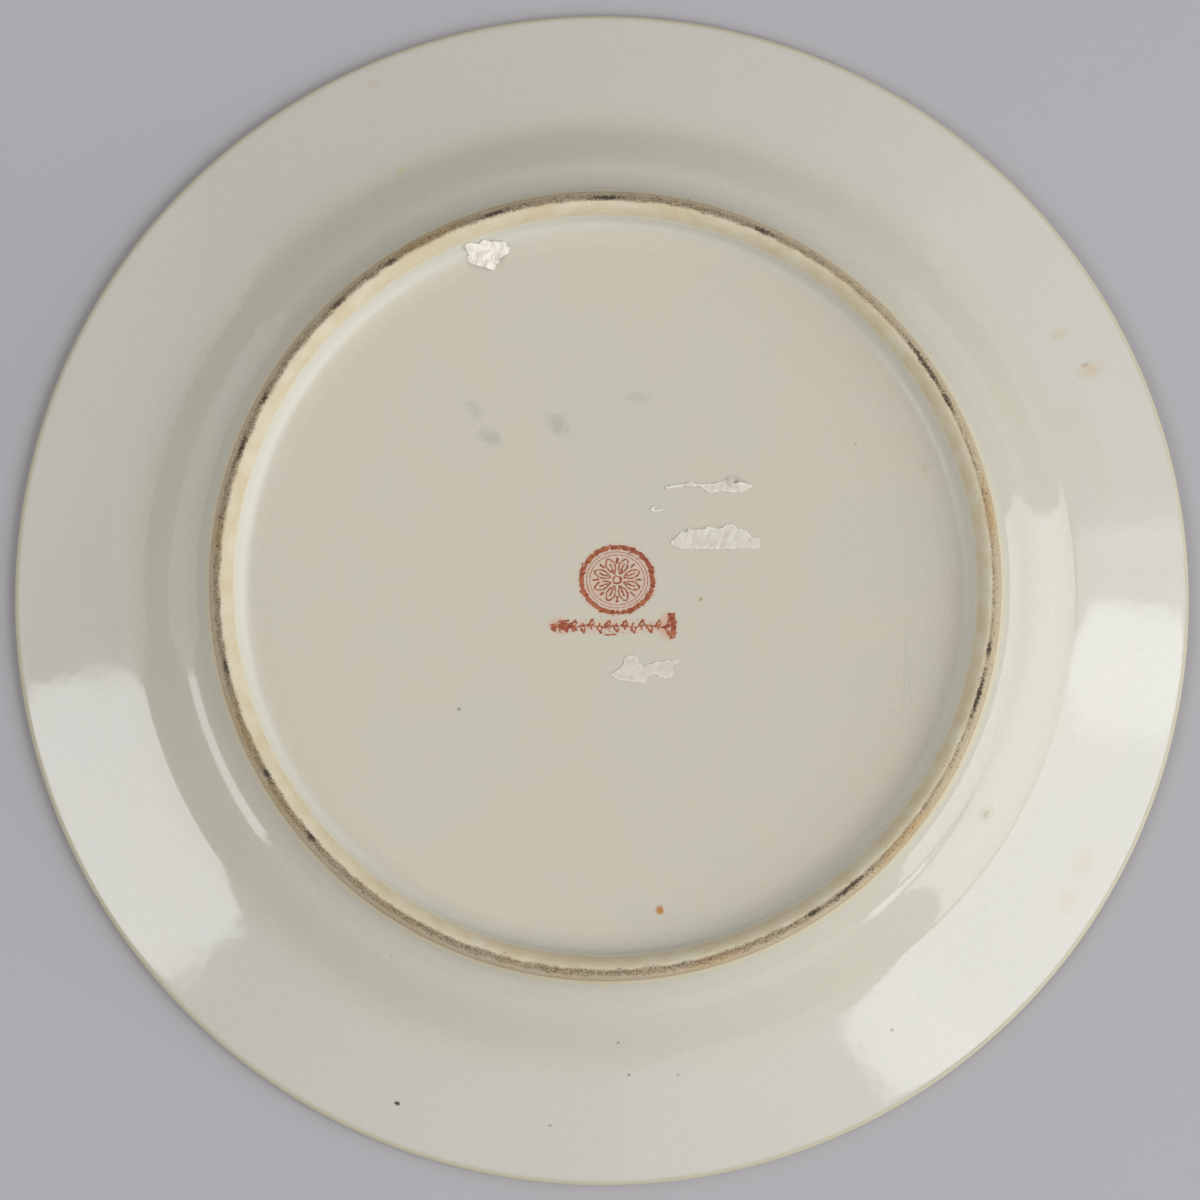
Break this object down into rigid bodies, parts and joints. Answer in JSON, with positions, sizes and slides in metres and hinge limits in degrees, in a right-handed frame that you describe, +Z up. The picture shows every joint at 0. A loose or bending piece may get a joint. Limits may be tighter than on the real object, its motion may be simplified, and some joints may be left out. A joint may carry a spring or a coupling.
{
  "type": "hand painted porcelain plate",
  "caption": "Round hand painted porcelain plate with a flat rim, a shallow well and an unglazed foot ring, lying face down with a red base mark and torn label scraps.",
  "frame": {"origin": "centre of the plane that the rim's lip rests on, with the plate lying face down", "axes": "+Z up, along the plate's own axis, out of the foot ring and away from the eating face; +Y towards the far side of the base mark and +X to its right as the base is read from above. To set the plate right way up, turn it 180 degrees about X and lift it by 27 mm: it then stands on the foot ring"},
  "size_m": [0.2602, 0.2602, 0.027],
  "materials": {
    "bare_porcelain": "unglazed fired porcelain, ochre stained, rough to the touch",
    "glaze": "clear pale grey ivory glaze, glossy with faint mottling and fine specks",
    "gilding": "worn burnished gold paint",
    "iron_red_enamel": "thin brushed iron red overglaze paint, satin",
    "rose_enamel": "opaque rose pink overglaze enamel, slightly raised",
    "leaf_enamel": "green overglaze enamel, slightly raised",
    "yellow_enamel": "yellow overglaze enamel, slightly raised",
    "label_paper": "torn yellowed label paper and dried glue"
  },
  "bodies": {
    "root": {"porcelain_body": "bare_porcelain", "back_glaze": "glaze", "base_glaze": "glaze", "face_glaze": "glaze", "lip_gilding": "gilding", "rim_gold_line": "gilding", "shoulder_gold_line": "gilding", "well_red_line": "iron_red_enamel", "well_rose": "rose_enamel", "well_rose_heart": "yellow_enamel", "well_leaf_wreath": "leaf_enamel", "base_mark_rosette": "iron_red_enamel", "base_mark_twig": "iron_red_enamel", "label_scrap_by_foot": "label_paper", "label_scrap_thin": "label_paper", "label_scrap_curl": "label_paper", "label_scrap_wide": "label_paper", "label_scrap_low": "label_paper", "rim_rose_1": "rose_enamel", "rim_rose_2": "rose_enamel", "rim_rose_3": "rose_enamel", "rim_rose_4": "rose_enamel", "rim_rose_5": "rose_enamel", "rim_rose_6": "rose_enamel", "rim_rose_7": "rose_enamel", "rim_rose_8": "rose_enamel", "rim_leaf_spray_1": "leaf_enamel", "rim_leaf_spray_2": "leaf_enamel", "rim_leaf_spray_3": "leaf_enamel", "rim_leaf_spray_4": "leaf_enamel", "rim_leaf_spray_5": "leaf_enamel", "rim_leaf_spray_6": "leaf_enamel", "rim_leaf_spray_7": "leaf_enamel", "rim_leaf_spray_8": "leaf_enamel"}
  },
  "joints": []
}
